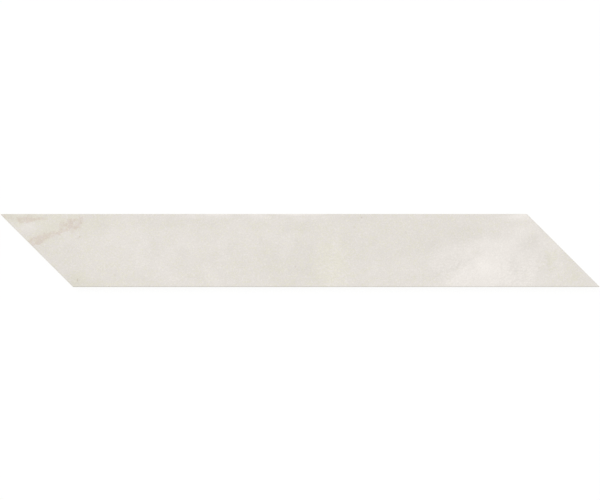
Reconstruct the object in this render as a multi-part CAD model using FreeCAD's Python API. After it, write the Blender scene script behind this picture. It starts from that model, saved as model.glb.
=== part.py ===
import FreeCAD, Part
import math
import os

# Chevron wall tile: one piece of glazed porcelain. It is pressed and fired as part of a
# slab, then sawn into a strip whose two ends are mitred the same way. Sizes are in
# millimetres. The origin is the middle of the back, +X runs along the long edges, +Y
# points to the long edge whose left end is a sharp tip, and +Z leaves the glazed face.

# Outline
OVERALL_LENGTH = 600.0  # from one sharp tip to the other, along X
WIDTH = 73.0  # between the two long edges
MITRE_ANGLE = 45.0  # degrees between an end and the long edges
THICKNESS = 9.0  # from the back ribs to the glazed face

# Ground arris round the glazed face
ARRIS = 0.8  # as wide on the face as it is deep down the side

# Key pressed into the back, where crossing ribs stand between shallow recesses
RIB_PITCH = 15.0
RIB_WIDTH = 2.5
RECESS_DEPTH = 0.5
RECESS_CORNER_RADIUS = 1.5

LEAN = WIDTH / math.tan(math.radians(MITRE_ANGLE))  # shift of the upper edge against the lower
HALF_AXIS = (OVERALL_LENGTH - LEAN) / 2  # from the origin to a mitred end, along X


def outline():
    """The parallelogram at the back, as a face that looks up."""
    half_length = OVERALL_LENGTH / 2
    half_width = WIDTH / 2
    left_tip = FreeCAD.Vector(-half_length, half_width, 0)
    lower_left = FreeCAD.Vector(LEAN - half_length, -half_width, 0)
    right_tip = FreeCAD.Vector(half_length, -half_width, 0)
    upper_right = FreeCAD.Vector(half_length - LEAN, half_width, 0)
    return Part.Face(Part.makePolygon([left_tip, lower_left, right_tip, upper_right, left_tip]))


def ground_block():
    """The sawn tile with its four face edges ground to an arris, and a plain back."""
    block = outline().extrude(FreeCAD.Vector(0, 0, THICKNESS))
    face_edges = [edge for edge in block.Edges if edge.BoundBox.ZMin > THICKNESS / 2]
    return block.makeChamfer(ARRIS, face_edges)


def recess():
    """One recess of the back key, centred on the origin, as the solid that is taken away."""
    side = RIB_PITCH - RIB_WIDTH
    corner = FreeCAD.Vector(-side / 2, -side / 2, 0)
    block = Part.makeBox(side, side, RECESS_DEPTH, corner)
    uprights = [edge for edge in block.Edges if edge.BoundBox.ZLength > RECESS_DEPTH / 2]
    return block.makeFillet(RECESS_CORNER_RADIUS, uprights)


def recess_places():
    """Centres of the recesses that reach the tile. Two ribs cross at the origin."""
    columns = math.ceil(OVERALL_LENGTH / 2 / RIB_PITCH)
    rows = math.ceil(WIDTH / 2 / RIB_PITCH)
    places = []
    for row in range(-rows, rows):
        y = (row + 0.5) * RIB_PITCH
        for column in range(-columns, columns):
            x = (column + 0.5) * RIB_PITCH
            along_axis = x + y * LEAN / WIDTH  # slid parallel to the ends, down to the X axis
            if abs(along_axis) < HALF_AXIS + RIB_PITCH:
                places.append(FreeCAD.Vector(x, y, 0))
    return places


def chevron_tile():
    """The whole tile as one solid."""
    pattern = recess()
    recesses = [pattern.translated(place) for place in recess_places()]
    return ground_block().cut(recesses)


def main():
    tile = chevron_tile()
    os.makedirs("parts", exist_ok=True)
    tile.exportStep(os.path.join("parts", "chevron_tile.step"))
    box = tile.BoundBox
    print(f"size {box.XLength:.2f} x {box.YLength:.2f} x {box.ZLength:.2f} mm")
    print(f"solids {len(tile.Solids)}, faces {len(tile.Faces)}, valid {tile.isValid()}")
    print(f"volume {tile.Volume / 1000:.2f} cm3")


if __name__ == "__main__":
    main()
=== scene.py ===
# %% [markdown]
# # A chevron wall tile
# A chevron tile is a long strip of glazed porcelain with both ends cut at 45 degrees. Laid beside
# its mirror image it makes the V of a chevron wall. The strip starts as a large slab: pressed clay,
# a coat of white slip, a digital print and a satin glaze, all fired together. The slab is sawn into
# strips, and the sharp edges of each face are ground off. This lesson makes the strip in that order.
#
# The sizes come from a solid model of the tile, the frame, which is loaded first and never changed.

# %% Load the frame
import math

import bmesh
import bpy
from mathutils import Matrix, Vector, noise


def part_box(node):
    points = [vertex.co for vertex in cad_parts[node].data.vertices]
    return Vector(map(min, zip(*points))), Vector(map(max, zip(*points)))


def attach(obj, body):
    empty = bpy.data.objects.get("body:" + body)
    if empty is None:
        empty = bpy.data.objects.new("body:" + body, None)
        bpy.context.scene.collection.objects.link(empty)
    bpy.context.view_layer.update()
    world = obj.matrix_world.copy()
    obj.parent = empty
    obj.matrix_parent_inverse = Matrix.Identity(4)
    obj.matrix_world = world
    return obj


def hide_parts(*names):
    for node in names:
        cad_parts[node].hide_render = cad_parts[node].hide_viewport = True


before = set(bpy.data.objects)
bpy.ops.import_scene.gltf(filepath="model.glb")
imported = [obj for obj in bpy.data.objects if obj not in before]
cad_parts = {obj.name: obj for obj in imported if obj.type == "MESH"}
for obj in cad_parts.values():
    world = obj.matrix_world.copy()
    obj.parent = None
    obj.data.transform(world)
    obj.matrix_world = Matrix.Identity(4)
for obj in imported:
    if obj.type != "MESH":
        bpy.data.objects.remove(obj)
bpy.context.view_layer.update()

# %% [markdown]
# ## The tile's sizes
# Blender works in metres, and a tile is thought of in millimetres, so one named factor turns the
# one into the other. Length, width and thickness are read from the frame. The rest is written once
# here: the angle of the mitred ends, the ground edge and the key that is pressed into the back.

# %% Read the tile's sizes
MM = 0.001
SOLID_NODE = "chevron_tile"
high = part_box(SOLID_NODE)[1]  # the highest corner, counted from the middle of the back
THICKNESS = high.z
HALF_WIDTH = high.y
MITRE_ANGLE = math.radians(45)
LEAN = 2 * HALF_WIDTH / math.tan(MITRE_ANGLE)  # how far the ends carry the upper edge to the left
HALF_AXIS = high.x - LEAN / 2  # from the middle to a mitred end, along X

ARRIS = 0.8 * MM  # the ground edge, as wide on the face as it is deep
RIB_PITCH = 15 * MM
RIB_WIDTH = 2.5 * MM
RECESS_DEPTH = 0.5 * MM
RECESS_CORNER = 1.5 * MM
WALL_LEAN = 0.12 * MM  # how far the wall of a recess leans in
SOFT_EDGE = 0.12 * MM  # how far the clay rounds itself along an edge
print(f"tile {2 * high.x / MM:.1f} x {2 * HALF_WIDTH / MM:.1f} x {THICKNESS / MM:.1f} mm")

# %% [markdown]
# ## One function for every node
# Materials and Geometry Nodes are both made of nodes. A tree that is built in a script is easy to
# repeat and to change. One small function adds a node of any kind: it sets the node's options, and
# gives each input either a plain value or a link from another node's output.

# %% Add a node
def add_node(tree, kind, inputs, **settings):
    """A node of one kind with its settings. An input takes a value or another node's output."""
    node = tree.nodes.new(kind)
    for name, value in settings.items():
        setattr(node, name, value)
    for socket, value in inputs.items():
        if isinstance(value, bpy.types.NodeSocket):
            tree.links.new(value, node.inputs[socket])
        else:
            node.inputs[socket].default_value = value
    return node


# %% [markdown]
# ## Colours
# A colour picker shows sRGB, which is how a screen stores colour. Light adds up in linear values,
# and Blender's sockets want those. So each colour is written as the hex value that a picker would
# show, and one function turns it to linear.

# %% Turn a hex colour to linear
def linear(hex_colour):
    """Red, green and blue from 0 to 1, in linear light."""
    shares = [int(hex_colour[k : k + 2], 16) / 255 for k in (0, 2, 4)]
    return [s / 12.92 if s <= 0.04045 else ((s + 0.055) / 1.055) ** 2.4 for s in shares]


print("the grey 808080 is", round(linear("808080")[0], 3), "of white in linear light")

# %% [markdown]
# ## The shape of the strip
# Seen from above, the strip is a parallelogram. Every outline of it, at any height, is the same
# parallelogram drawn in by some distance, so one function gives a point of it from two shares:
# along runs from one mitred end to the other, and across runs from the lower edge to the upper.

# %% Find a point of the tile
def place(along, across, inset, height):
    """A point of the outline drawn in by inset. Both shares run from -1 to 1."""
    y = across * (HALF_WIDTH - inset)
    x = along * (HALF_AXIS - inset / math.sin(MITRE_ANGLE)) - y / math.tan(MITRE_ANGLE)
    return Vector((x, y, height))


CORNERS = [(-1, -1), (1, -1), (1, 1), (-1, 1)]  # anticlockwise, seen from above
print("left tip", place(-1, 1, 0, THICKNESS)[:])

# %% [markdown]
# A saw leaves the corners sharp, but not like a knife: the last fifth of a millimetre breaks away.
# So each outline is a ring of points with a small arc at its corners. The straight stretches are
# divided the same way in every ring, and then two rings can be joined by a band of four-sided faces.

# %% Draw a ring of points round the tile
LONG_STEPS = 210
END_STEPS = 36
CORNER_STEPS = 3
SIDE_STEPS = (LONG_STEPS, END_STEPS, LONG_STEPS, END_STEPS)


def corner_arc(k, inset, height, radius):
    """The points that round off one corner of the outline."""
    corner, before, after = (place(*CORNERS[j % 4], inset, height) for j in (k, k - 1, k + 1))
    coming = (corner - before).normalized()
    going = (after - corner).normalized()
    half_angle = (math.pi - coming.angle(going)) / 2
    centre = corner + (going - coming).normalized() * radius / math.sin(half_angle)
    first = Vector((coming.y, -coming.x, 0))
    last = Vector((going.y, -going.x, 0))
    return [centre + radius * first.slerp(last, t / CORNER_STEPS) for t in range(CORNER_STEPS + 1)]


def ring(inset, height, radius):
    """All points of one outline, in order, each side after the corner that it starts from."""
    arcs = [corner_arc(k, inset, height, radius) for k in range(4)]
    points = []
    for k, steps in enumerate(SIDE_STEPS):
        start, stop = arcs[k][-1], arcs[(k + 1) % 4][0]
        points += arcs[k]
        points += [start.lerp(stop, t / steps) for t in range(1, steps)]
    return points


print(len(ring(0, 0, 0)), "points in a ring")

# %% [markdown]
# ## The ground arris
# The edge of the face is ground to an arris: a narrow slope at 45 degrees. A wheel leaves it very
# slightly crowned, and it runs into the face and the side without a hard line. A superellipse draws
# that profile with one number: 1 would be a flat slope and 2 a full round. One more ring lies on
# the face itself, just inside the arris: the narrow flat band that it makes keeps smooth shading
# from bending the light further into the face.

# %% List the rings from the back to the face
CROWN = 1.3
ARRIS_STEPS = 6
FACE_INSET = ARRIS + 0.15 * MM
TIP_RADIUS = 0.2 * MM
BACK_EDGE = 0.15 * MM  # the sawn edge at the back is only broken by the saw


def arris_profile():
    """Inset and height of each ring of the arris, from the side up to the face."""
    profile = []
    for step in range(ARRIS_STEPS + 1):
        turn = math.pi / 2 * step / ARRIS_STEPS
        inset = ARRIS * (1 - math.cos(turn) ** (2 / CROWN))
        drop = ARRIS * (1 - math.sin(turn) ** (2 / CROWN))
        profile.append((inset, THICKNESS - drop))
    return profile


rings = [ring(BACK_EDGE, 0, TIP_RADIUS), ring(BACK_EDGE / 3, BACK_EDGE / 3, TIP_RADIUS)]
rings.append(ring(0, BACK_EDGE, TIP_RADIUS))
rings += [ring(inset, z, TIP_RADIUS * (1 - inset / ARRIS)) for inset, z in arris_profile()]
rings.append(ring(FACE_INSET, THICKNESS, 0))
print(len(rings), "rings")

# %% [markdown]
# ## The block
# The block could be a cube with a bevel, but the bevel would give no say in how the thin tips come
# out. Here the bands between the rings make the sides, and the face is a fine grid, slanted like
# the tile. A fired slab is never truly flat: it waves by some hundredths of a millimetre, which is
# only seen in the way light glides over it. So the grid's inner points dip a little, by a noise
# that changes slowly, and its border stays level.
#
# Glaze and slip are about half a millimetre thick, and the ink soaks into both. So the face's colours
# reach down over most of the arris, and the body shows on its last two bands and on the sides.

# %% Make the block
WAVE_DEPTH = 0.05 * MM
WAVE_LENGTH = 70 * MM
RISE_ALONG, RISE_ACROSS = 8, 3  # how fast the wave sets in from the border
SAME_PLACE = 0.001 * MM  # points that are as near as this become one
GLAZED_BANDS = 5  # the flat one, and the upper four of the arris
GLAZE, BODY, BACK = range(3)


def face_point(i, j):
    """A point of the face, waved a little inside its border."""
    along, across = 2 * i / LONG_STEPS - 1, 2 * j / END_STEPS - 1
    point = place(along, across, FACE_INSET, THICKNESS)
    inland = min(1, RISE_ALONG * (1 - abs(along)), RISE_ACROSS * (1 - abs(across)))
    wave = 0.5 + 0.5 * noise.noise(point / WAVE_LENGTH)
    point.z -= WAVE_DEPTH * inland * wave
    return point


def make_block():
    """The whole strip as a closed mesh with a plain back."""
    block = bmesh.new()
    loops = [[block.verts.new(point) for point in points] for points in rings]
    for level, (lower, upper) in enumerate(zip(loops, loops[1:])):
        bands_to_top = len(loops) - 1 - level
        for k in range(len(lower)):
            n = (k + 1) % len(lower)
            band = block.faces.new((lower[k], lower[n], upper[n], upper[k]))
            band.material_index = GLAZE if bands_to_top <= GLAZED_BANDS else BODY
    grid = [[block.verts.new(face_point(i, j)) for j in range(END_STEPS + 1)] for i in range(LONG_STEPS + 1)]
    for i in range(LONG_STEPS):
        for j in range(END_STEPS):
            block.faces.new((grid[i][j], grid[i + 1][j], grid[i + 1][j + 1], grid[i][j + 1]))
    block.faces.new(reversed(loops[0])).material_index = BACK
    bmesh.ops.remove_doubles(block, verts=block.verts, dist=SAME_PLACE)
    return block


block = make_block()
print(len(block.faces), "faces, open edges:", sum(not e.is_manifold for e in block.edges))

# %% [markdown]
# The back is still one big face. It gets a cut along the middle of every rib, so that each recess
# that follows lies in a small field of its own and leaves clean faces round itself.

# %% Cut the back along its ribs
def cut_back(block, axis, line):
    """Cuts the faces of the back along one line."""
    back = [face for face in block.faces if face.material_index == BACK]
    cut = {item for face in back for item in (face, *face.edges, *face.verts)}
    normal = Vector((axis == 0, axis == 1, 0))
    bmesh.ops.bisect_plane(block, geom=list(cut), plane_co=normal * line, plane_no=normal)


for axis, reach in ((0, high.x), (1, HALF_WIDTH)):
    count = int(reach / RIB_PITCH)
    for k in range(-count, count + 1):
        cut_back(block, axis, k * RIB_PITCH)

mesh = bpy.data.meshes.new("block")
block.to_mesh(mesh)
block.free()
tile = bpy.data.objects.new("glazed_tile", mesh)
bpy.context.scene.collection.objects.link(tile)
print(len(mesh.polygons), "faces after the cuts")

# %% [markdown]
# ## The key on the back
# Glue holds a tile by the key on its back: shallow square recesses with ribs between them. The
# press stamps them into the whole slab, and the saw later cuts through them wherever it likes. The
# same recess repeats by a rule, and that is work for Geometry Nodes. The tree below draws one
# recess as a plug, copies it to the points of a grid and takes the plugs out of the block.
#
# A stamp has to come out of the clay again, so the walls of a recess lean, and the clay rounds
# itself a little along every edge. The plug is a rounded square carried up a short line. At each
# of the line's points it takes another size.

# %% Start the tree and name its inputs
KEY_INPUTS = {
    "Rib pitch": ("NodeSocketFloat", RIB_PITCH),
    "Rib width": ("NodeSocketFloat", RIB_WIDTH),
    "Recess depth": ("NodeSocketFloat", RECESS_DEPTH),
    "Corner radius": ("NodeSocketFloat", RECESS_CORNER),
    "Lean of a wall": ("NodeSocketFloat", WALL_LEAN),
    "Soft edge": ("NodeSocketFloat", SOFT_EDGE),
    "Columns": ("NodeSocketInt", 2 * math.ceil(high.x / RIB_PITCH)),
    "Rows": ("NodeSocketInt", 2 * math.ceil(HALF_WIDTH / RIB_PITCH)),
}

key_tree = bpy.data.node_groups.new("Back key", "GeometryNodeTree")
key_tree.interface.new_socket("Block", in_out="INPUT", socket_type="NodeSocketGeometry")
key_sockets = {
    name: key_tree.interface.new_socket(name, in_out="INPUT", socket_type=kind)
    for name, (kind, value) in KEY_INPUTS.items()
}
key_sockets["Pressed back"] = key_tree.interface.new_socket(
    "Pressed back", in_out="INPUT", socket_type="NodeSocketMaterial"
)
key_tree.interface.new_socket("Tile", in_out="OUTPUT", socket_type="NodeSocketGeometry")
given = key_tree.nodes.new("NodeGroupInput").outputs
print(len(key_sockets), "inputs")

# %% Work out the plug's sizes
SUMS = {  # name: how to work it out, and from what
    "opening": ("SUBTRACT", "Rib pitch", "Rib width"),
    "mouth": ("MULTIPLY_ADD", "Soft edge", 2, "opening"),
    "wall top": ("MULTIPLY_ADD", "Lean of a wall", -2, "opening"),
    "recess floor": ("MULTIPLY_ADD", "Soft edge", -2, "wall top"),
    "wall height": ("SUBTRACT", "Recess depth", "Soft edge"),
    "columns less one": ("SUBTRACT", "Columns", 1),
    "rows less one": ("SUBTRACT", "Rows", 1),
    "length of a row": ("MULTIPLY", "columns less one", "Rib pitch"),
    "height of a column": ("MULTIPLY", "rows less one", "Rib pitch"),
    "twice the depth": ("MULTIPLY", "Recess depth", 2),
}
sizes = {name: given[name] for name in KEY_INPUTS}
for name, (operation, *values) in SUMS.items():
    inputs = {k: sizes.get(value, value) for k, value in enumerate(values)}
    sizes[name] = add_node(key_tree, "ShaderNodeMath", inputs, operation=operation, label=name).outputs[0]
print(len(SUMS), "sizes worked out in the tree")

# %% [markdown]
# A field gives each point of the line its own value. An Index Switch picks it by the point's number:
# one switch picks how high the point stands, the other how wide the plug is there.

# %% Carry a rounded square up a line
PLUG_START = -1 * MM  # below the back, so that the cut leaves no skin over a recess
PLUG_LEVELS = [  # height and side of the plug, up to the recess floor
    (PLUG_START, sizes["mouth"]),
    (0, sizes["mouth"]),
    (sizes["Soft edge"], sizes["opening"]),
    (sizes["wall height"], sizes["wall top"]),
    (sizes["Recess depth"], sizes["recess floor"]),
]
point_number = add_node(key_tree, "GeometryNodeInputIndex", {}).outputs[0]
fields = []
for values in zip(*PLUG_LEVELS):
    switch = add_node(key_tree, "GeometryNodeIndexSwitch", {"Index": point_number}, data_type="FLOAT")
    while len(switch.index_switch_items) < len(values):
        switch.index_switch_items.new()
    for k, value in enumerate(values):
        if isinstance(value, bpy.types.NodeSocket):
            key_tree.links.new(value, switch.inputs[str(k)])
        else:
            switch.inputs[str(k)].default_value = value
    fields.append(switch.outputs[0])
level_height, level_side = fields

line = add_node(key_tree, "GeometryNodeMeshLine", {"Count": len(PLUG_LEVELS)})
height = add_node(key_tree, "ShaderNodeCombineXYZ", {"Z": level_height})
risen = add_node(
    key_tree,
    "GeometryNodeSetPosition",
    {"Geometry": line.outputs[0], "Position": height.outputs[0]},
)
path = add_node(key_tree, "GeometryNodeMeshToCurve", {"Mesh": risen.outputs[0]})
square = add_node(
    key_tree, "GeometryNodeCurvePrimitiveQuadrilateral", {"Width": sizes["mouth"], "Height": sizes["mouth"]}
)
rounded = add_node(
    key_tree,
    "GeometryNodeFilletCurve",
    {"Curve": square.outputs[0], "Count": CORNER_STEPS, "Radius": sizes["Corner radius"]},
    mode="POLY",
)
share = add_node(key_tree, "ShaderNodeMath", {0: level_side, 1: sizes["mouth"]}, operation="DIVIDE")
plug = add_node(
    key_tree,
    "GeometryNodeCurveToMesh",
    {
        "Curve": path.outputs[0],
        "Profile Curve": rounded.outputs[0],
        "Scale": share.outputs[0],
        "Fill Caps": True,
    },
)
print(len(PLUG_LEVELS), "levels of the plug")

# %% [markdown]
# The grid's points are the middles of the recesses. The plugs stay instances, one shape that is
# shown many times, until the boolean takes them all out of the block at once. Its Manifold solver
# needs closed shapes and is quick. The last two nodes make the result one real mesh and give the
# stamped faces, which look down or lean, their own material.

# %% Take the plugs out of the block
grid = add_node(
    key_tree,
    "GeometryNodeMeshGrid",
    {
        "Size X": sizes["length of a row"],
        "Size Y": sizes["height of a column"],
        "Vertices X": sizes["Columns"],
        "Vertices Y": sizes["Rows"],
    },
)
plugs = add_node(
    key_tree,
    "GeometryNodeInstanceOnPoints",
    {"Points": grid.outputs[0], "Instance": plug.outputs[0]},
)
cut = add_node(
    key_tree,
    "GeometryNodeMeshBoolean",
    {"Mesh 1": given["Block"], "Mesh 2": plugs.outputs[0]},
    operation="DIFFERENCE",
    solver="MANIFOLD",
)
real = add_node(key_tree, "GeometryNodeRealizeInstances", {"Geometry": cut.outputs[0]})

# %% Give the stamped faces their material
LEANS_DOWN = -0.2  # a face leans down where the Z of its normal is less than this
face_normal = add_node(key_tree, "GeometryNodeInputNormal", {})
face_middle = add_node(key_tree, "GeometryNodeInputPosition", {})
normal_z = add_node(key_tree, "ShaderNodeSeparateXYZ", {0: face_normal.outputs[0]}).outputs["Z"]
middle_z = add_node(key_tree, "ShaderNodeSeparateXYZ", {0: face_middle.outputs[0]}).outputs["Z"]
looks_down = add_node(key_tree, "ShaderNodeMath", {0: normal_z, 1: LEANS_DOWN}, operation="LESS_THAN")
is_low = add_node(
    key_tree, "ShaderNodeMath", {0: middle_z, 1: sizes["twice the depth"]}, operation="LESS_THAN"
)
both = add_node(
    key_tree, "ShaderNodeMath", {0: looks_down.outputs[0], 1: is_low.outputs[0]}, operation="MULTIPLY"
)
stamped = add_node(
    key_tree,
    "GeometryNodeSetMaterial",
    {"Geometry": real.outputs[0], "Selection": both.outputs[0], "Material": given["Pressed back"]},
)
add_node(key_tree, "NodeGroupOutput", {0: stamped.outputs[0]})
print(len(key_tree.nodes), "nodes in the key's tree")

# %% [markdown]
# The tile has three finishes. Their materials are made here, still empty, because the tree needs
# the one of the back.

# %% Make the materials
def make_material(name):
    """A material under the finish's own name, its tree and its shader."""
    material = bpy.data.materials.new(name)
    material.use_nodes = True
    return material, material.node_tree, material.node_tree.nodes["Principled BSDF"]


glaze, glaze_tree, glaze_shader = make_material("satin_glaze")
body, body_tree, body_shader = make_material("sawn_porcelain")
back, back_tree, back_shader = make_material("pressed_porcelain")
for material in (glaze, body, back):
    mesh.materials.append(material)
print([material.name for material in mesh.materials])

# %% Run the tree and keep its result
modifier = tile.modifiers.new("Back key", "NODES")
modifier.node_group = key_tree
for name, (kind, value) in KEY_INPUTS.items():
    modifier[key_sockets[name].identifier] = value
modifier[key_sockets["Pressed back"].identifier] = back

bpy.context.view_layer.update()
seen = tile.evaluated_get(bpy.context.evaluated_depsgraph_get())
cut_mesh = bpy.data.meshes.new_from_object(seen)
tile.modifiers.clear()
tile.data = cut_mesh
bpy.data.meshes.remove(mesh)
print(len(cut_mesh.polygons), "faces with the key,", [m.name for m in cut_mesh.materials])

# %% [markdown]
# ## Smooth where it curves
# A boolean leaves flat-shaded faces. Smooth shading blends the light across the edges, and edges
# that turn by more than a set angle stay sharp: the arris ends softly, while the saw cuts and the
# mouths of the cut recesses keep their line.

# %% Shade the tile
SHARP_TURN = math.radians(32)
tile.data.shade_smooth()
tile.data.set_sharp_from_angle(angle=SHARP_TURN)
print(sum(edge.use_edge_sharp for edge in tile.data.edges), "sharp edges")

# %% [markdown]
# ## A flat pattern for baked images
# Another program can only show the finishes once they are baked into an image, and a UV map says
# which part of the image belongs to which face. The tile is eight times as long as it is wide, and
# a square image holds a long strip best along its diagonal. Turned by 45 degrees, the mitred ends
# also stand straight. The back goes beside the face, a bit smaller, and the four sides lie as thin
# strips on the face's other side.

# %% Lay out the UV map
UV_WIDTH = 480 * MM  # what the whole image spans at the scale of the face
UV_GAP = 6 * MM
BACK_SHARE = 0.87
BACK_SHIFT = (0.075, 0.030)
SIDE_ROWS = {0: (0, 0), 1: (2, 0.06), 2: (1, 0), 3: (2, -0.06)}  # row and shift of each side
SIDE_TILT = 0.2  # on a side, the Z of a normal is nearer to 0 than this


def on_diagonal(along, across, share=1, shift=(0, 0)):
    """A place in the image for a point of a strip that runs along the diagonal."""
    u = (along + across) * math.sqrt(0.5) * share + shift[0]
    v = (across - along) * math.sqrt(0.5) * share + shift[1]
    return 0.5 + u / UV_WIDTH, 0.5 + v / UV_WIDTH


side_starts = [place(*CORNERS[k], 0, 0) for k in range(4)]
side_runs = [(place(*CORNERS[(k + 1) % 4], 0, 0) - side_starts[k]) for k in range(4)]


def side_uv(point, k):
    """A place in the strip of one side."""
    run = side_runs[k]
    along = (point - side_starts[k]).dot(run.normalized()) - run.length / 2
    row, shift = SIDE_ROWS[k]
    across = -HALF_WIDTH - UV_GAP - row * (THICKNESS + UV_GAP / 2) - THICKNESS + point.z
    return on_diagonal(along if run.x >= 0 else -along, across, shift=(shift, -shift))


def side_faced(normal):
    """The side that a face looks out of."""
    outward = [Vector((run.y, -run.x, 0)).normalized().dot(normal) for run in side_runs]
    return outward.index(max(outward))


uv_map = tile.data.uv_layers.new(name="OFBake")
for face in tile.data.polygons:
    k = side_faced(face.normal) if abs(face.normal.z) < SIDE_TILT else None
    for corner in face.loop_indices:
        point = tile.data.vertices[tile.data.loops[corner].vertex_index].co
        if k is not None:
            uv = side_uv(point, k)
        elif face.normal.z > 0:
            uv = on_diagonal(point.x, point.y)
        else:
            uv = on_diagonal(point.x, point.y, BACK_SHARE, BACK_SHIFT)
        uv_map.data[corner].uv = uv
print(len(uv_map.data), "corners laid out")

# %% [markdown]
# ## Satin glaze with a cement print
# The face is porcelain under a satin glaze. The glaze is clear with fine matting crystals in it, so
# a light spreads into a soft patch instead of a mirror image. The look of trowelled cement comes
# from a digital print: a pale ground, and a few inks that each take some of its light away.
#
# All patterns are measured in millimetres on the object's own coordinates, so they keep their real
# scale. Nearly everything in the print is a soft pattern. One helper draws it: a noise with blots
# of a given size, stretched so that its middle runs between two given values.

# %% Draw soft blots
NOISE_LOW, NOISE_HIGH = 0.28, 0.72  # most of a noise lies between these
CLOUD_SIZE = 11
CLOUD_TONES = (-1.8, 1.2)  # the darkest and the palest


def in_millimetres(tree):
    """The point on the tile, in millimetres."""
    on_tile = add_node(tree, "ShaderNodeTexCoord", {}).outputs["Object"]
    enlarged = {"Vector": on_tile, "Scale": (1 / MM, 1 / MM, 1 / MM)}
    return add_node(tree, "ShaderNodeMapping", enlarged).outputs[0]


def blots(tree, point, size, octaves, lowest, highest):
    """A soft pattern with blots about one size across, from lowest to highest."""
    raw = add_node(tree, "ShaderNodeTexNoise", {"Vector": point, "Scale": 1 / size, "Detail": octaves})
    limits = {"From Min": NOISE_LOW, "From Max": NOISE_HIGH, "To Min": lowest, "To Max": highest}
    return add_node(tree, "ShaderNodeMapRange", {"Value": raw.outputs[0], **limits}).outputs[0]


glaze_point = in_millimetres(glaze_tree)
tone = blots(glaze_tree, glaze_point, CLOUD_SIZE, 3, *CLOUD_TONES)
print("clouds of", CLOUD_SIZE, "mm, darkest and palest tone", CLOUD_TONES)

# %% [markdown]
# Trowel marks wander and are never clean ellipses. Before any soft spot is drawn, the point is
# pushed about by a coloured noise: its red and green say how far to push along X and Y.

# %% Push the point about
PUSH = 13  # millimetres from one extreme to the other
PUSH_SIZE = 17
push_colour = add_node(
    glaze_tree,
    "ShaderNodeTexNoise",
    {"Vector": glaze_point, "Scale": 1 / PUSH_SIZE, "Detail": 3},
)
push_centred = add_node(
    glaze_tree,
    "ShaderNodeVectorMath",
    {0: push_colour.outputs["Color"], 1: (0.5, 0.5, 0.5)},
    operation="SUBTRACT",
)
pushed = add_node(
    glaze_tree,
    "ShaderNodeVectorMath",
    {0: push_centred.outputs[0], 1: (PUSH, PUSH, 0), 2: glaze_point},
    operation="MULTIPLY_ADD",
)
wandering = pushed.outputs[0]
print("points pushed by up to", PUSH / 2, "mm either way")

# %% [markdown]
# Another helper draws soft spots. A spot is an ellipse with a middle, a reach each way and a turn.
# A spherical gradient falls from 1 in its middle to 0 at its reach, and a smooth step rounds that
# off at both ends. The amounts add up, so a few overlapping spots make a cloud. A spot reaches
# far down through the tile, so the height of the face makes no difference to it.

# %% Draw soft spots
SPOT_DEPTH = 1000


def add_spots(point, spots, total):
    """Adds soft spots to a value and returns the sum."""
    for x, y, length, width, turn, amount in spots:
        ellipse = {
            "Vector": point,
            "Location": (x, y, 0),
            "Rotation": (0, 0, math.radians(turn)),
            "Scale": (length, width, SPOT_DEPTH),
        }
        inside = add_node(glaze_tree, "ShaderNodeMapping", ellipse, vector_type="TEXTURE").outputs[0]
        cone = add_node(glaze_tree, "ShaderNodeTexGradient", {"Vector": inside}, gradient_type="SPHERICAL")
        soft = add_node(
            glaze_tree,
            "ShaderNodeMapRange",
            {"Value": cone.outputs["Fac"], "To Max": amount},
            interpolation_type="SMOOTHSTEP",
            clamp=False,
        )
        added = add_node(glaze_tree, "ShaderNodeMath", {0: total, 1: soft.outputs[0]}, operation="ADD")
        total = added.outputs[0]
    return total


# %% [markdown]
# The clouds are placed one by one, as the print's designer retouches a scan of cement. Places and reaches
# are in millimetres from the middle of the tile, and turns in degrees. The last number is the tone: one step
# is 0.7 per cent of the light.
#
# A smooth step keeps within its limits by itself, so Map Range needs no clamp here. That matters: with a
# clamp in each of some 220 spots the whole face comes out black. Most likely the renderer works a clamp out
# late, and runs out of places to keep the values of so many spots.

# %% Place the clouds
LEFT_CLOUDS = [
    (-230, 28, 80, 18, 0, -3),
    (-273, 23, 18, 8, 0, 6),
    (-238, -11, 45, 24, -45, -3.5),
    (-223, -30, 22, 14, 0, -4),
    (-175, -31, 60, 14, 0, -2.5),
    (-288, 32, 18, 10, -20, -4),
    (-294, 35, 14, 7, -20, -4),
    (-203, 28, 14, 16, 0, -2),
    (-233, 14, 14, 8, 0, 3),
    (-175, 5, 44, 36, 0, 3),
    (-190, 15, 12, 12, 0, 1.5),
    (-157, 1, 11, 16, 0, 2.5),
    (-160, -12, 9, 10, 0, 2),
    (-135, -22, 26, 12, -50, 4),
    (-132, -4, 14, 14, 0, 3),
    (-113, 10, 26, 16, -45, 4),
    (-145, 3, 6, 14, 0, -3),
    (-117, -4, 9, 12, 0, -3.5),
    (-120, 27, 60, 9, 0, -3.2),
    (-90, 26, 18, 8, 0, -1.5),
    (-110, -22, 24, 16, 0, -1),
]
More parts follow.
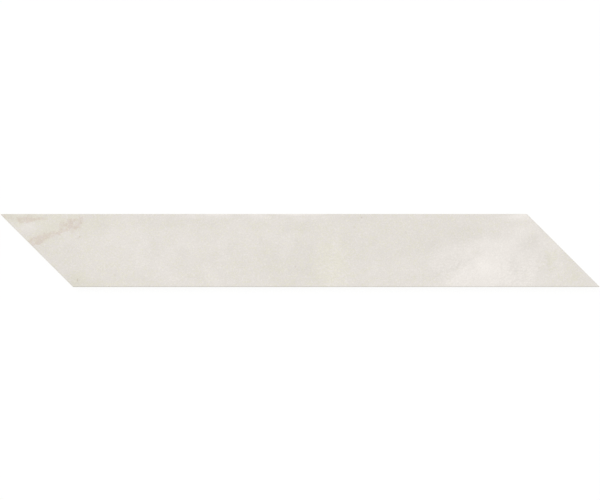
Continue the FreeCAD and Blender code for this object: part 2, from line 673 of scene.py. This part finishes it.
MIDDLE_CLOUDS = [
    (-87, -28, 22, 11, -60, 4.5),
    (-121, -26, 12, 10, 0, 3),
    (-80, -6, 8, 14, 0, 3),
    (-60, 22, 15, 10, 0, 3),
    (-78, 8, 22, 8, 30, 2.5),
    (-50, 5, 12, 14, 0, 2.5),
    (-30, 14, 16, 10, -20, 3),
    (-13, 5, 11, 18, 0, 4),
    (-38, 12, 5, 10, 0, -4),
    (-86, -8, 10, 10, 0, -2.5),
    (-68, 2, 8, 10, 0, -2.5),
    (-57, -12, 12, 16, 0, -2.5),
    (-27, -12, 27, 30, 0, -4),
    (-3, -13, 20, 35, 0, -3.5),
    (8, -15, 14, 30, 0, -4),
    (-6, 22, 28, 9, 0, -3),
    (-13, -34, 24, 8, 0, -3.5),
    (-38, -32, 16, 6, 0, 2),
    (35, -25, 24, 26, 0, 4.5),
    (37, 5, 8, 18, 0, 3.5),
    (26, 10, 12, 16, 0, 1.5),
    (76, -16, 6, 12, 0, 3.5),
    (46, 7, 12, 16, 0, -3),
    (57, -4, 16, 20, 0, -2),
    (60, 33, 34, 9, 0, -3),
    (95, -6, 36, 14, 10, -3),
    (128, 6, 20, 14, -20, -3.5),
    (160, 19, 26, 11, 15, -4),
    (140, 30, 50, 16, 0, -1.8),
    (100, 15, 95, 34, 0, -2),
    (105, -15, 34, 16, 0, 2),
    (88, 9, 12, 10, 0, 3),
    (43, -2, 9, 9, 0, 4),
    (8, 26, 16, 22, 0, -3.5),
]
RIGHT_CLOUDS = [
    (185, -20, 60, 36, 25, 11),
    (195, -5, 30, 36, 0, 5),
    (200, 8, 40, 16, 0, 5),
    (170, -1, 20, 14, 40, 6),
    (148, -5, 30, 16, 20, 5),
    (150, -33, 22, 8, 20, 6),
    (162, -25, 22, 12, 35, 6),
    (181, -12, 14, 16, 35, 7),
    (184, -26, 16, 16, 0, 5),
    (198, -22, 12, 18, 0, 3),
    (183, -16, 8, 8, 0, 3),
    (150, -18, 24, 6, 30, -2.5),
    (170, -7, 20, 6, 36, -4.5),
    (198, 13, 18, 9, 0, -5),
    (180, 19, 20, 10, 0, -3.5),
    (214, -14, 7, 15, 0, -5),
    (228, 18, 12, 10, 0, 4),
    (240, -12, 12, 10, 0, 3.5),
    (215, 15, 24, 14, 30, 4),
    (222, 21, 12, 9, 0, 3.5),
    (235, 28, 24, 18, -45, 4),
    (229, 7, 16, 13, 0, -6),
    (232, -17, 8, 30, 0, 4),
    (220, -15, 30, 36, 0, 4),
    (215, -30, 30, 14, 0, 4),
    (247, -9, 13, 18, -10, -4.5),
    (250, 5, 24, 12, -45, 4.5),
    (260, -14, 12, 20, 40, 3),
    (275, -20, 30, 16, -45, -3),
    (247, -30, 16, 14, 0, 2),
]
EDGE_SMEARS = [
    (-172, 33, 16, 7, 0, 2.5),
    (-109, 34, 12, 6, 0, 4),
    (-82, 35, 30, 7, 0, 5),
    (-41, 35, 20, 9, 0, 8),
    (5, 35, 40, 7, 0, 6),
    (211, 33, 17, 9, 0, 3),
    (220, 35, 22, 8, 0, 10),
]
CLOUDS = LEFT_CLOUDS + MIDDLE_CLOUDS + RIGHT_CLOUDS + EDGE_SMEARS
tone = add_spots(wandering, CLOUDS, tone)
print(len(CLOUDS), "soft spots of tone")

# %% [markdown]
# The last touches are small and crisp, so they use the point as it is, before it was pushed.

# %% Touch up the clouds
TOUCHES = [
    (-286, 35, 14, 5, 0, -3),
    (-270, 34, 18, 6, 0, -3),
    (-254, 35, 8, 5, 0, -4),
    (-266, 17, 9, 5, 20, -2.5),
    (-272, 14, 12, 7, 0, -4),
    (-257, 3, 20, 14, 20, -3),
    (-250, 21, 10, 6, 20, -3),
    (-240, 13, 18, 6, 15, -3),
    (-235, -6, 14, 7, 0, 2),
    (-231, -30, 10, 9, -45, -3),
    (-226, 1, 10, 9, 0, -3),
    (-214, 7, 9, 9, 0, 3),
    (-211, 35, 12, 5, 0, -3),
    (-197, 24, 10, 13, 0, -3),
    (-192, 0, 9, 14, 20, -2),
    (-220, -34, 18, 7, 0, -5),
    (-203, -34, 15, 7, 0, -5),
    (-198, -20, 9, 8, 0, -2.5),
    (-186, -34, 14, 5, 0, 2.5),
    (-162, -34, 8, 5, 0, 3),
    (-157, -14, 12, 16, 0, 3),
    (-106, -33, 12, 6, 0, 3),
    (-184, 16, 20, 14, 0, 1.5),
    (-162, 18, 9, 8, 0, 2),
    (-159, 32, 16, 9, 0, -3),
    (-143, 29, 20, 10, 0, -2),
    (-120, 1, 14, 9, 0, 2),
    (-110, 35, 12, 6, 0, 4),
    (-86, 31, 9, 7, 0, -3),
    (-81, -3, 9, 8, 0, -3),
    (-76, 15, 7, 15, 0, 2.5),
    (-74, 34, 12, 7, 0, 3),
    (-72, 29, 9, 7, 0, -3),
    (-62, 35, 9, 5, 0, -3),
    (-43, 25, 9, 8, 0, -3),
    (-25, 35, 15, 5, 0, -3),
    (-17, -3, 8, 10, 0, 3),
    (-10, 31, 9, 9, 0, -5),
    (0, 32, 8, 7, 0, 1.5),
    (-24, 22, 8, 8, 0, 2),
    (5, 35, 10, 6, 0, -4),
    (2, -11, 9, 9, 0, 3),
    (-3, 6, 9, 10, 0, -3),
    (8, 3, 12, 8, 0, -2.5),
    (9, -21, 11, 16, 0, -2.5),
    (20, -28, 10, 14, 0, -3),
    (32, -4, 12, 10, 0, 1.5),
    (27, 6, 9, 7, 0, -3),
    (32, -34, 9, 5, 0, 3),
    (43, 33, 12, 10, 0, -2),
    (63, -34, 9, 5, 0, -3),
    (73, -35, 11, 6, 0, 5),
    (70, 8, 14, 9, -30, -2.5),
    (72, 35, 10, 6, 0, -3),
    (88, 16, 26, 14, 0, -1.5),
    (102, 24, 12, 9, 0, 1.5),
    (102, -9, 16, 6, 20, 3),
    (105, 35, 9, 5, 0, 3),
    (118, 33, 12, 8, 0, 3),
    (116, -34, 16, 6, 0, 2),
    (132, -35, 10, 6, 0, 3),
    (138, -2, 9, 7, 0, 2.5),
    (136, -15, 12, 9, 0, 4.5),
    (147, -22, 12, 7, 25, 3.5),
    (155, -26, 9, 7, 0, -2.5),
    (155, 0, 9, 10, 0, 4.5),
    (157, -6, 9, 6, 0, -2),
    (158, -15, 20, 5, 38, -1.5),
    (164, -12, 9, 7, 38, 2.5),
    (164, -20, 26, 5, 38, 2.5),
    (162, 11, 22, 7, 0, -2.5),
    (165, -34, 9, 5, 0, 3.5),
    (168, -29, 14, 16, 0, 3),
    (172, -3, 8, 7, 0, 2),
    (178, 8, 22, 6, 0, 4),
    (178, -1, 9, 8, 0, -4),
    (181, -35, 12, 5, 0, 3),
    (188, -12, 7, 12, 30, 2),
    (200, -35, 14, 8, 0, 4),
    (228, -34, 22, 8, 0, 4),
    (210, 34, 18, 5, 0, 4),
    (219, 35, 14, 6, 0, 4),
    (203, 8, 18, 14, 0, -2),
    (208, -27, 8, 9, 0, 3),
    (230, 8, 12, 8, 0, -1),
    (219, 22, 8, 8, 0, 3),
    (213, -15, 8, 16, 20, -2.5),
    (231, -21, 8, 12, 30, 4),
    (241, 5, 9, 14, 0, 4),
    (255, 6, 14, 6, -45, 4),
    (283, -22, 14, 6, -45, 3),
    (265, -8, 9, 9, 0, -2),
    (260, -20, 8, 10, 0, 2),
    (-272, 37, 9, 3, 0, -6),
    (-137, 37, 9, 3, 0, -5),
    (-112, 37, 12, 3, 0, -7),
    (-86, 37, 22, 3, 0, 12),
    (-43, 37, 12, 3, 0, 6),
    (-8, 37, 26, 3, 0, 14),
    (4, 37, 30, 3, 0, 12),
    (31, 37, 12, 3, 0, -8),
    (66, 37, 12, 3, 0, 4),
    (185, 37, 10, 3, 0, 4),
    (211, 37, 16, 3, 0, -12),
    (225, 37, 8, 3, 0, 6),
]
tone = add_spots(glaze_point, TOUCHES, tone)
print(len(TOUCHES), "touches")

# %% [markdown]
# Where a trowel drags on cement that is half set, it tears the skin, and the cloud turns speckled.
# A few places get this torn skin: a noise with blots of 2.2 mm, faded in by soft spots of its own.
# The trowel ran up to the right, so the noise is drawn out that way.

# %% Tear the skin in places
STROKE_TURN = math.radians(30)
STROKE_SQUEEZE = 0.6  # the noise's scale along a stroke, next to 1 across it
TORN_PATCHES = [
    (218, -24, 36, 28, 0, 1.2),
    (206, -8, 14, 14, 0, 0.5),
    (155, -16, 34, 32, 0, 1),
    (118, -20, 34, 24, 0, 0.5),
    (32, -16, 30, 40, 0, 0.8),
    (250, -6, 22, 34, 0, 0.8),
    (185, -18, 24, 30, 0, 0.4),
    (-80, -5, 30, 40, 0, 0.4),
    (-150, -14, 60, 30, 0, 0.4),
]
torn = add_spots(wandering, TORN_PATCHES, 0)
along_stroke = {
    "Vector": glaze_point,
    "Rotation": (0, 0, -STROKE_TURN),
    "Scale": (STROKE_SQUEEZE, 1, 1),
}
drawn_out = add_node(glaze_tree, "ShaderNodeMapping", along_stroke).outputs[0]
tears = blots(glaze_tree, drawn_out, 2.2, 2, -7, 7)
torn_tone = add_node(glaze_tree, "ShaderNodeMath", {0: torn, 1: tears, 2: tone}, operation="MULTIPLY_ADD")
tone = torn_tone.outputs[0]
print(len(TORN_PATCHES), "torn patches")

# %% [markdown]
# The two long arrises are painted darker than the face. The lower one gets a clear painted shade, as on a
# slope that faces away from the light. The upper one gets a little painted shade, which tones down the light
# that the lamp gives it.

# %% Paint shade on the long arrises
# painted shade, in steps of tone, for the lower and the upper arris
ARRIS_SHADES = {-1: -17, 1: -6}  # for the lower and the upper one
ARRIS_START = (HALF_WIDTH - ARRIS) / MM
SHADE_FADE = 0.2  # millimetres
from_middle = add_node(glaze_tree, "ShaderNodeSeparateXYZ", {0: glaze_point}).outputs["Y"]
arris_shade = 0
for side, arris_tone in ARRIS_SHADES.items():
    line_range = {"From Min": side * ARRIS_START, "From Max": side * (ARRIS_START + SHADE_FADE)}
    arris_shading = add_node(
        glaze_tree, "ShaderNodeMapRange", {"Value": from_middle, **line_range, "To Max": arris_tone}
    ).outputs[0]
    arris_shade = add_node(glaze_tree, "ShaderNodeMath", {0: arris_shade, 1: arris_shading}, operation="ADD").outputs[0]
print(f"arrises start {ARRIS_START:.1f} mm from the middle")

# %% [markdown]
# The print also has a fine grain, from the ink's dots and the matting crystals. The real dots are
# about 0.1 mm and would not show at all from two metres, so the grain is drawn at 1.1 mm. Here and
# there a larger crystal stands out pale. Those are the peaks of another noise, cut off below.
#
# The ground is the colour of the bare glazed slip. Its tone takes a little more of the blue light
# away than of the red, so a darker cloud is slightly warmer too.

# %% Colour the ground by its tone
DOT = 1.1
CRYSTAL = 1.5 * DOT
GROUND = "E2DDD7"
TONE_BY_COLOUR = (0.0070, 0.0070, 0.0073)  # share of red, green and blue light for one step of tone

grain = blots(glaze_tree, glaze_point, DOT, 1, -6, 6)
crystals = blots(glaze_tree, glaze_point, CRYSTAL, 1, -14, 9)
peaks = add_node(glaze_tree, "ShaderNodeMath", {0: crystals, 1: 0}, operation="MAXIMUM")
speckled = add_node(glaze_tree, "ShaderNodeMath", {0: grain, 1: peaks.outputs[0]}, operation="ADD")
# the painted shade of the arrises joins the print's tone here
shaded_tone = add_node(glaze_tree, "ShaderNodeMath", {0: tone, 1: arris_shade}, operation="ADD")
toned = add_node(
    glaze_tree, "ShaderNodeMath", {0: shaded_tone.outputs[0], 1: speckled.outputs[0]}, operation="ADD"
)
light = add_node(
    glaze_tree,
    "ShaderNodeVectorMath",
    {0: toned.outputs[0], 1: TONE_BY_COLOUR, 2: (1, 1, 1)},
    operation="MULTIPLY_ADD",
)
ground = add_node(
    glaze_tree, "ShaderNodeVectorMath", {0: light.outputs[0], 1: linear(GROUND)}, operation="MULTIPLY"
)
print(f"ground {GROUND}, grain of {DOT} mm, crystals of {CRYSTAL:.2f} mm")

# %% [markdown]
# ## The inks
# Three inks lie over the ground. The straw ink is a faint yellow-green. A printer has no half dots:
# where it wants less ink it sets fewer dots. So a field says how much straw there is, and the ink
# lies wherever the field is higher than a fine noise. The field is patchy over some 6 mm, falls in
# the bright clouds, and rises to full in a few places. Real dots are far too fine to show, so these
# are drawn at 1.8 mm, as the clumps that they form.

# %% Lay out the straw ink
STRAW_PATCHES = [
    (31, -14, 28, 46, 0, 0.5),
    (42, -8, 14, 10, 0, 0.2),
    (250, -9, 13, 18, 0, 0.4),
    (272, -23, 22, 16, 0, 0.2),
    (152, -10, 36, 28, 0, -0.25),
    (-222, -30, 20, 14, 0, 0.25),
    (-270, 28, 60, 20, 0, 0.25),
    (-240, 25, 90, 34, 0, 0.15),
    (-255, 13, 30, 14, 25, 0.15),
    (-205, 22, 20, 20, 0, 0.1),
    (-215, 0, 12, 20, 0, 0.1),
    (-190, -17, 24, 14, 0, 0.15),
    (-172, -22, 12, 10, 0, 0.15),
    (-5, 22, 30, 12, 0, 0.1),
    (-27, -2, 12, 16, 0, 0.15),
    (-63, -8, 12, 16, 0, 0.1),
    (-13, -33, 22, 8, 0, 0.2),
    (-198, -34, 40, 6, 0, 0.15),
    (215, -5, 50, 40, 0, -0.3),
    (-273, 22, 16, 9, 0, -0.3),
]
CLUMP = 1.8
CLUMP_EDGE = 0.06  # how far over or under the noise the field is at a clump's soft edge
STRAW_BY_TONE = -0.024  # what one step of tone adds to the field
patchy = blots(glaze_tree, glaze_point, 6, 2, 0, 0.56)
faded = add_node(
    glaze_tree, "ShaderNodeMath", {0: tone, 1: STRAW_BY_TONE, 2: patchy}, operation="MULTIPLY_ADD"
)
straw_field = add_spots(wandering, STRAW_PATCHES, faded.outputs[0])
clumps = blots(glaze_tree, glaze_point, CLUMP, 1, 0, 1)
straw_excess = add_node(glaze_tree, "ShaderNodeMath", {0: straw_field, 1: clumps}, operation="SUBTRACT")
straw = add_node(
    glaze_tree,
    "ShaderNodeMapRange",
    {"Value": straw_excess.outputs[0], "From Min": -CLUMP_EDGE, "From Max": CLUMP_EDGE},
).outputs[0]
print(len(STRAW_PATCHES), "patches of straw ink")

# %% [markdown]
# Two rusty veins run in from the left end, as stains do that soak into cement, and the lower one
# splits into strands. Each strand is a row of long spots. A noise that is drawn out like the tears
# is taken away from their sum, which frays them, and another makes them mottled.

# %% Lay out the rusty veins
UPPER_VEIN = [
    (-296, 35, 6, 6, 0, 0.9),
    (-294, 32, 5, 4, 0, 0.5),
    (-289, 33, 5, 8, 0, 0.9),
    (-282, 33, 7, 5, 0, 0.6),
    (-280, 28, 4, 5, 0, 0.9),
    (-275, 31, 13, 5, 0, 1.2),
    (-272, 29, 9, 5, 0, 0.9),
    (-271, 35, 8, 4, 0, 1),
    (-266, 31, 8, 4, 0, 1.1),
    (-262, 33, 6, 4, -30, 0.7),
    (-257, 31.5, 9, 3, 0, 1.4),
    (-274, 12, 14, 3, -45, 0.4),
]
LOWER_VEIN = [
    (-269, 9, 8, 5, -60, 0.9),
    (-266, 13, 9, 5, 35, 0.8),
    (-264, 6.5, 10, 4, 15, 1),
    (-260, 12, 10, 7, 30, 1.2),
    (-258, 9.5, 10, 4, 30, 0.6),
    (-255, 15, 11, 7, 20, 0.8),
    (-249, 15, 12, 6, 0, 0.8),
    (-246, 18, 7, 5, 30, 0.6),
    (-241, 19, 9, 5, 10, 0.8),
    (-240, 16, 8, 4, 0, 0.6),
    (-234, 20, 10, 4, 0, 0.8),
    (-239, 24, 6, 7, 0, 0.7),
    (-235, 25.5, 9, 4, 0, 0.7),
    (-230, 25, 8, 8, 0, 1.2),
    (-239, 29, 6, 4, 0, 0.7),
    (-237, 33, 5, 6, 0, 0.7),
    (-229, 30, 9, 6, 0, 1.2),
    (-219, 31, 8, 9, 0, 0.9),
    (-222, 26, 9, 5, 35, 0.8),
    (-222, 22, 8, 6, 0, 1),
    (-227, 18, 4, 5, -20, 0.6),
]
FULL_STAIN = 1.1  # the frayed sum of spots at which the coat is full
stain = add_spots(glaze_point, UPPER_VEIN + LOWER_VEIN, 0)
fray = blots(glaze_tree, drawn_out, 2, 3, 0, 0.9)
frayed = add_node(glaze_tree, "ShaderNodeMath", {0: stain, 1: fray}, operation="SUBTRACT")
soaked = add_node(
    glaze_tree,
    "ShaderNodeMapRange",
    {"Value": frayed.outputs[0], "From Max": FULL_STAIN},
    interpolation_type="SMOOTHSTEP",
)
mottle = blots(glaze_tree, glaze_point, 2.4, 2, 0.4, 1.5)
mottled = add_node(glaze_tree, "ShaderNodeMath", {0: soaked.outputs[0], 1: mottle}, operation="MULTIPLY")
rust = mottled.outputs[0]
print(len(UPPER_VEIN), "and", len(LOWER_VEIN), "spots in the two veins")

# %% [markdown]
# The third ink is in a few specks, where a darker grain of the slip shows through. Then all three
# are laid on. An ink is written as the colour that a full coat of it leaves of white, and a Mix
# node that multiplies lays it on by its density.

# %% Lay the inks on the ground
SPECKS = [
    (-220.5, 13.5, 1.6, 1.6, 0, 0.6),
    (-222, 12, 1.4, 1.4, 0, 0.4),
    (-222.5, -29.5, 1.2, 2.6, 0, 0.7),
    (-185, -24.5, 1.8, 1.8, 0, 0.3),
    (-4.5, -16, 1.8, 1.8, 0, 0.3),
    (61.5, 33, 1.6, 1.6, 0, 0.7),
    (54.5, 23, 1.8, 1.8, 0, 0.3),
    (105.5, 18, 1.8, 1.8, 0, 0.3),
]
specks = add_spots(glaze_point, SPECKS, 0)

INKS = {
    "straw": ("FEFFF7", straw),
    "rust": ("F5EEEC", rust),
    "speck": ("E2DBD2", specks),
}
printed = ground.outputs[0]
for name, (ink, density) in INKS.items():
    coat = add_node(
        glaze_tree,
        "ShaderNodeMix",
        {0: density, 6: printed, 7: (*linear(ink), 1)},
        data_type="RGBA",
        blend_type="MULTIPLY",
        label=name,
    )
    printed = coat.outputs[2]
glaze_tree.links.new(printed, glaze_shader.inputs["Base Color"])
print(len(glaze_tree.nodes), "nodes in the glaze")

# %% [markdown]
# ## How the glaze shines
# Fired glaze is a glass, with an index of refraction near 1.5. Its satin comes from crystals, and
# they are not spread evenly, so the roughness drifts over some 9 mm. The surface has a faint orange
# peel, a few millimetres from crest to crest and some thousandths of a millimetre deep.

# %% Set the glaze's gloss and relief
PEEL_DEPTH = 0.02 * MM
glaze_shader.inputs["IOR"].default_value = 1.5
satin = blots(glaze_tree, glaze_point, 9, 3, 0.33, 0.43)
glaze_tree.links.new(satin, glaze_shader.inputs["Roughness"])
peel = blots(glaze_tree, glaze_point, 3.5, 2, 0, 1)
peel_relief = add_node(glaze_tree, "ShaderNodeBump", {"Distance": PEEL_DEPTH, "Height": peel})
glaze_tree.links.new(peel_relief.outputs[0], glaze_shader.inputs["Normal"])
print(f"orange peel up to {PEEL_DEPTH / MM:.2f} mm deep")

# %% [markdown]
# ## Sawn porcelain
# The sides show the body: stone-hard porcelain in the grey beige of its clay and feldspar. A
# diamond wheel runs along each edge, so the fine lines lie level on all four sides. They come from
# a noise that changes fast with height and slowly along the edge.

# %% Make the sawn sides
BODY_PALE = "E1DCD3"
BODY_DEEP = "D6CFC4"
LINE_LENGTH = 14  # millimetres along the edge
LINE_HEIGHT = 0.22  # millimetres up the side
LINE_DEPTH = 0.03 * MM  # in metres, as the bump below wants it
body_point = in_millimetres(body_tree)
line_scale = (1 / LINE_LENGTH, 1 / LINE_LENGTH, 1 / LINE_HEIGHT)
along_edge = add_node(body_tree, "ShaderNodeMapping", {"Vector": body_point, "Scale": line_scale}).outputs[0]
wheel_lines = blots(body_tree, along_edge, 1, 3, 0, 0.6)
body_grain = blots(body_tree, body_point, 0.7, 2, 0, 0.4)
wear = add_node(body_tree, "ShaderNodeMath", {0: wheel_lines, 1: body_grain}, operation="ADD").outputs[0]
body_colour = add_node(
    body_tree,
    "ShaderNodeMix",
    {0: wear, 6: (*linear(BODY_PALE), 1), 7: (*linear(BODY_DEEP), 1)},
    data_type="RGBA",
)
body_tree.links.new(body_colour.outputs[2], body_shader.inputs["Base Color"])
body_shader.inputs["Roughness"].default_value = 0.7
wheel_relief = add_node(body_tree, "ShaderNodeBump", {"Distance": LINE_DEPTH, "Height": wheel_lines})
body_tree.links.new(wheel_relief.outputs[0], body_shader.inputs["Normal"])
print(len(body_tree.nodes), "nodes in the sawn porcelain")

# %% [markdown]
# ## The pressed back
# The back is the same body, pressed and not sawn. Before firing, its ribs are wiped with a white
# wash that keeps the slab from sticking to the kiln's rollers. The wash lies on the ribs only, thin
# and patchy, so it follows the height above the back's plane and a noise.

# %% Make the pressed back
WASH = "F0EEE9"
PRESSED_PALE = "DCD5C9"
PRESSED_DEEP = "CEC6B8"
WASH_FULL, WASH_GONE = 0.02, 0.18  # millimetres above the back's plane
CLAY_DEPTH = 0.05 * MM
back_point = in_millimetres(back_tree)
clay_noise = blots(back_tree, back_point, 1.5, 4, 0, 1)
clay = add_node(
    back_tree,
    "ShaderNodeMix",
    {0: clay_noise, 6: (*linear(PRESSED_PALE), 1), 7: (*linear(PRESSED_DEEP), 1)},
    data_type="RGBA",
)
above = add_node(back_tree, "ShaderNodeSeparateXYZ", {0: back_point}).outputs["Z"]
on_ribs = add_node(
    back_tree,
    "ShaderNodeMapRange",
    {"Value": above, "From Min": WASH_FULL, "From Max": WASH_GONE, "To Min": 1, "To Max": 0},
)
wiped = blots(back_tree, back_point, 5, 5, 0.1, 1)
wash = add_node(back_tree, "ShaderNodeMath", {0: on_ribs.outputs[0], 1: wiped}, operation="MULTIPLY")
washed = add_node(
    back_tree,
    "ShaderNodeMix",
    {0: wash.outputs[0], 6: clay.outputs[2], 7: (*linear(WASH), 1)},
    data_type="RGBA",
)
back_tree.links.new(washed.outputs[2], back_shader.inputs["Base Color"])
back_shader.inputs["Roughness"].default_value = 0.85
clay_relief = add_node(back_tree, "ShaderNodeBump", {"Distance": CLAY_DEPTH, "Height": clay_noise})
back_tree.links.new(clay_relief.outputs[0], back_shader.inputs["Normal"])
print(len(back_tree.nodes), "nodes in the pressed porcelain")

# %% [markdown]
# ## Hand the tile over
# The finished mesh stands for the solid model's one node, and takes its place on the same body.

# %% Tie the tile to the frame
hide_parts(SOLID_NODE)
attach(tile, "root")
print(tile.name, "stands for", SOLID_NODE)

# %% [markdown]
# ## Floor and light
# The tile lies on a pale floor that is wide enough to have no edge in view.

# %% Lay the floor
FLOOR_HALF = 3  # metres from the middle to each edge
floor_mesh = bpy.data.meshes.new("floor")
floor_corners = [(x * FLOOR_HALF, y * FLOOR_HALF, 0) for x, y in CORNERS]
floor_mesh.from_pydata(floor_corners, [], [(0, 1, 2, 3)])
floor = bpy.data.objects.new("floor", floor_mesh)
bpy.context.scene.collection.objects.link(floor)
print("floor", 2 * FLOOR_HALF, "m each way")

# %% [markdown]
# Seen by the camera, the floor is white and still shows a soft shadow. For that its material asks
# the light path what kind of ray has met it: what the camera or a reflection sees is mostly plain
# white, and all other rays meet an ordinary pale surface.

# %% Colour the floor
FLOOR_COLOUR = "E8E8E6"
SEEN_SHARE = 0.85
SEEN_STRENGTH = 1.05


def is_looked_at(tree):
    """1 for a ray from the camera or out of a reflection or a glass, otherwise 0."""
    rays = tree.nodes.new("ShaderNodeLightPath").outputs
    straight = add_node(
        tree, "ShaderNodeMath", {0: rays["Is Camera Ray"], 1: rays["Is Glossy Ray"]}, operation="MAXIMUM"
    )
    return add_node(
        tree, "ShaderNodeMath", {0: straight.outputs[0], 1: rays["Is Transmission Ray"]}, operation="MAXIMUM"
    ).outputs[0]


pale, pale_tree, pale_shader = make_material("pale_floor")
floor_mesh.materials.append(pale)
pale_shader.inputs["Base Color"].default_value = (*linear(FLOOR_COLOUR), 1)
pale_shader.inputs["Roughness"].default_value = 0.9
white = add_node(pale_tree, "ShaderNodeEmission", {"Strength": SEEN_STRENGTH})
seen_share = add_node(
    pale_tree, "ShaderNodeMath", {0: is_looked_at(pale_tree), 1: SEEN_SHARE}, operation="MULTIPLY"
)
floor_mix = add_node(
    pale_tree,
    "ShaderNodeMixShader",
    {0: seen_share.outputs[0], 1: pale_shader.outputs[0], 2: white.outputs[0]},
)
pale_tree.links.new(floor_mix.outputs[0], pale_tree.nodes["Material Output"].inputs["Surface"])
print(len(pale_tree.nodes), "nodes in the floor")

# %% [markdown]
# Most of the light is an even white sky, like a studio's tent. A broad lamp from the upper left adds
# a little: it gives the lower arris less light than the face, and the upper one more. Sky and lamp
# together give a level face a light of exactly 1, so colours come out as written.

# %% Light the tile
LAMP_SHARE = 0.2
LAMP_BREADTH = math.radians(40)
LAMP_FROM = Vector((-0.35, 0.5, 0.8)).normalized()

world = bpy.data.worlds.new("sky")
bpy.context.scene.world = world
world.use_nodes = True
sky_tree = world.node_tree
sky = sky_tree.nodes["Background"]
sky.inputs["Color"].default_value = (1, 1, 1, 1)
sky_strength = add_node(
    sky_tree,
    "ShaderNodeMapRange",
    {"Value": is_looked_at(sky_tree), "To Min": 1 - LAMP_SHARE, "To Max": 1},
)
sky_tree.links.new(sky_strength.outputs[0], sky.inputs["Strength"])

lamp_data = bpy.data.lights.new("broad_lamp", "SUN")
lamp_data.energy = LAMP_SHARE * math.pi / LAMP_FROM.z
lamp_data.angle = LAMP_BREADTH
lamp = bpy.data.objects.new("broad_lamp", lamp_data)
lamp.rotation_euler = LAMP_FROM.to_track_quat("Z", "Y").to_euler()
bpy.context.scene.collection.objects.link(lamp)
print(f"lamp {math.degrees(math.asin(LAMP_FROM.z)):.0f} degrees above the floor")

# %% [markdown]
# ## Camera
# The picture is square on, with no perspective to be seen, so the camera hangs high over the tile
# with a long lens. It is 600 pixels wide, the tile 600 mm long, and a pixel covers a millimetre.

# %% Hang the camera
PICTURE_WIDTH = 600 * MM  # what the camera sees in the plane of the face
PICTURE_MIDDLE = 0.5 * MM  # along Y: the tile lies half a pixel below the middle of the picture
FOCAL_LENGTH = 120  # millimetres
camera_data = bpy.data.cameras.new("camera")
camera_data.lens = FOCAL_LENGTH
camera_distance = PICTURE_WIDTH * camera_data.lens / camera_data.sensor_width
camera = bpy.data.objects.new("camera", camera_data)
camera.location = (0, PICTURE_MIDDLE, THICKNESS + camera_distance)
bpy.context.scene.collection.objects.link(camera)
bpy.context.scene.camera = camera

bpy.context.scene.view_settings.view_transform = "Standard"
print(f"camera {camera_distance:.2f} m above the face")
